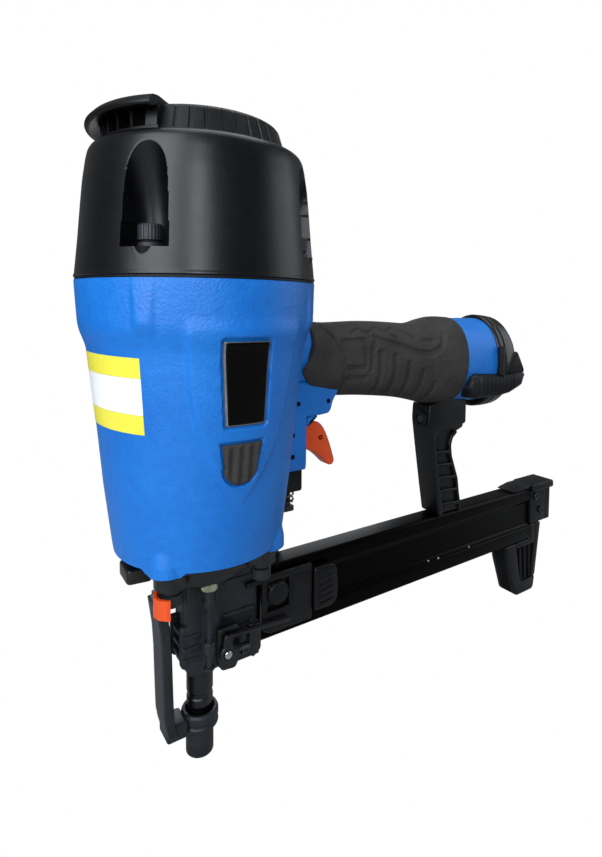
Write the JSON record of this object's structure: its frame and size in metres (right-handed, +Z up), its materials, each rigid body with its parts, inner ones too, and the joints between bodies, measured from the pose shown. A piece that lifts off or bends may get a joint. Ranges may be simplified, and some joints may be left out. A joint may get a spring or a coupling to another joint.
{
  "type": "pneumatic nailer",
  "caption": "Air-powered nailer with a tapered blue drum, black cap, swivelling exhaust, rubber handle grip, straight side magazine with a sliding pusher, contact foot, strut and rear foot",
  "frame": {"origin": "middle of the bounding box in X and Y, at the height of the nose tip's face, which is the lowest point", "axes": "+Z up along the driver axis, +X from the drum towards the rear of the handle and magazine, -Y the side with the depth adjuster and the magazine's pusher"},
  "size_m": [0.3586, 0.116, 0.3224],
  "materials": {
    "blue_paint": "orange-peel blue paint on a light alloy casting",
    "black_plastic": "satin moulded black plastic",
    "black_paint": "black paint on a casting",
    "black_anodised": "dark anodised extrusion",
    "dark_steel": "phosphated steel",
    "bright_steel": "bright steel",
    "brass_yellow": "turned brass",
    "zinc_plate": "zinc-plated steel",
    "aluminium": "bored aluminium",
    "dark_rubber": "moulded dark grey rubber",
    "black_rubber": "moulded black rubber",
    "orange_plastic": "orange plastic",
    "mesh_pad": "woven filter pad"
  },
  "bodies": {
    "tool_body": {"main_housing": "blue_paint", "cylinder_cap": "black_plastic", "linkage_guide": "black_plastic", "handle_end_cap": "black_plastic", "rear_strut": "black_plastic", "rear_foot": "black_plastic", "rail_end": "black_plastic", "side_badge_near": "black_plastic", "side_badge_far": "black_plastic", "base_plate": "black_paint", "magazine_rail": "black_anodised", "cap_bolt_1": "dark_steel", "cap_bolt_2": "dark_steel", "cap_bolt_3": "dark_steel", "cap_bolt_4": "dark_steel", "nose_bolt_1": "dark_steel", "nose_bolt_2": "dark_steel", "nose_bolt_3": "dark_steel", "nose_bolt_4": "dark_steel", "deflector_screw": "dark_steel", "nose_body": "dark_steel", "barrel": "dark_steel", "latch_bracket": "dark_steel", "end_screw_1": "dark_steel", "end_screw_2": "dark_steel", "strut_screw": "dark_steel", "head_valve_spring": "bright_steel", "contact_spring": "bright_steel", "latch_spring": "bright_steel", "latch_pin": "bright_steel", "trigger_pivot_pin": "bright_steel", "valve_pin_front": "bright_steel", "valve_pin_rear": "bright_steel", "linkage_pin": "bright_steel", "air_plug": "bright_steel", "valve_body": "brass_yellow", "cylinder_sleeve": "aluminium", "rubber_grip": "dark_rubber", "side_pad_near": "dark_rubber", "side_pad_far": "dark_rubber", "cap_gasket": "black_rubber", "piston_bumper": "black_rubber", "end_guard_near": "black_rubber", "end_guard_far": "black_rubber", "bolt_clip": "orange_plastic"},
    "deflector": {"exhaust_deflector": "black_plastic", "exhaust_filter": "mesh_pad"},
    "driver": {"piston_driver": "bright_steel", "piston_ring": "black_rubber"},
    "main_valve": {"head_valve": "black_plastic"},
    "trigger_lever": {"trigger": "orange_plastic"},
    "stem": {"valve_stem": "bright_steel"},
    "contact": {"contact_foot": "dark_steel", "contact_link": "dark_steel"},
    "adjuster": {"depth_rod": "dark_steel", "depth_nut": "zinc_plate"},
    "pusher": {"pusher_carriage": "black_plastic", "pusher_grip": "black_plastic"},
    "roll": {"roll_spring": "dark_steel"},
    "latch": {"latch_lever": "dark_steel"}
  },
  "joints": [
    {"name": "deflector_turn", "type": "hinge", "parent": "tool_body", "child": "deflector", "pos_m": [-0.1213, 0, 0.31], "axis": [0, 0, 1], "continuous": true},
    {"name": "driver_stroke", "type": "slide", "parent": "tool_body", "child": "driver", "axis": [0, 0, -1], "range_m": [0, 0.09]},
    {"name": "head_valve_lift", "type": "slide", "parent": "tool_body", "child": "main_valve", "axis": [0, 0, 1], "range_m": [0, 0.006], "stiffness_N_per_m": 1000, "springref_m": -0.01, "deforming": ["head_valve_spring"]},
    {"name": "trigger_pull", "type": "hinge", "parent": "tool_body", "child": "trigger_lever", "pos_m": [-0.0727, 0, 0.1625], "axis": [0, -1, 0], "range_deg": [0, 10], "stiffness_Nm_per_rad": 0.2, "springref_deg": -17.19},
    {"name": "valve_stem_push", "type": "slide", "parent": "tool_body", "child": "stem", "axis": [0, 0, 1], "range_m": [0, 0.0024]},
    {"name": "contact_press", "type": "slide", "parent": "tool_body", "child": "contact", "axis": [0, 0, 1], "range_m": [0, 0.008], "stiffness_N_per_m": 2000, "springref_m": -0.02, "deforming": ["contact_spring"]},
    {"name": "depth_turn", "type": "hinge", "parent": "tool_body", "child": "adjuster", "pos_m": [-0.1231, -0.0168, 0.08], "axis": [0, 0, 1], "range_deg": [-360, 360]},
    {"name": "pusher_slide", "type": "slide", "parent": "tool_body", "child": "pusher", "axis": [1, 0, 0], "range_m": [0, 0.19], "stiffness_N_per_m": 20, "springref_m": -1},
    {"name": "roll_turn", "type": "hinge", "parent": "pusher", "child": "roll", "pos_m": [-0.0808, 0, 0.077], "axis": [0, 1, 0], "range_deg": [0, 1727]},
    {"name": "latch_swing", "type": "hinge", "parent": "tool_body", "child": "latch", "pos_m": [-0.1122, -0.0142, 0.056], "axis": [0, -1, 0], "range_deg": [0, 25], "stiffness_Nm_per_rad": 0.05, "springref_deg": -28.65}
  ],
  "couplings": [
    {"joint": "valve_stem_push", "follows": "trigger_pull", "m_per_rad": 0.0134},
    {"joint": "roll_turn", "follows": "pusher_slide", "rad_per_m": 158.6}
  ]
}
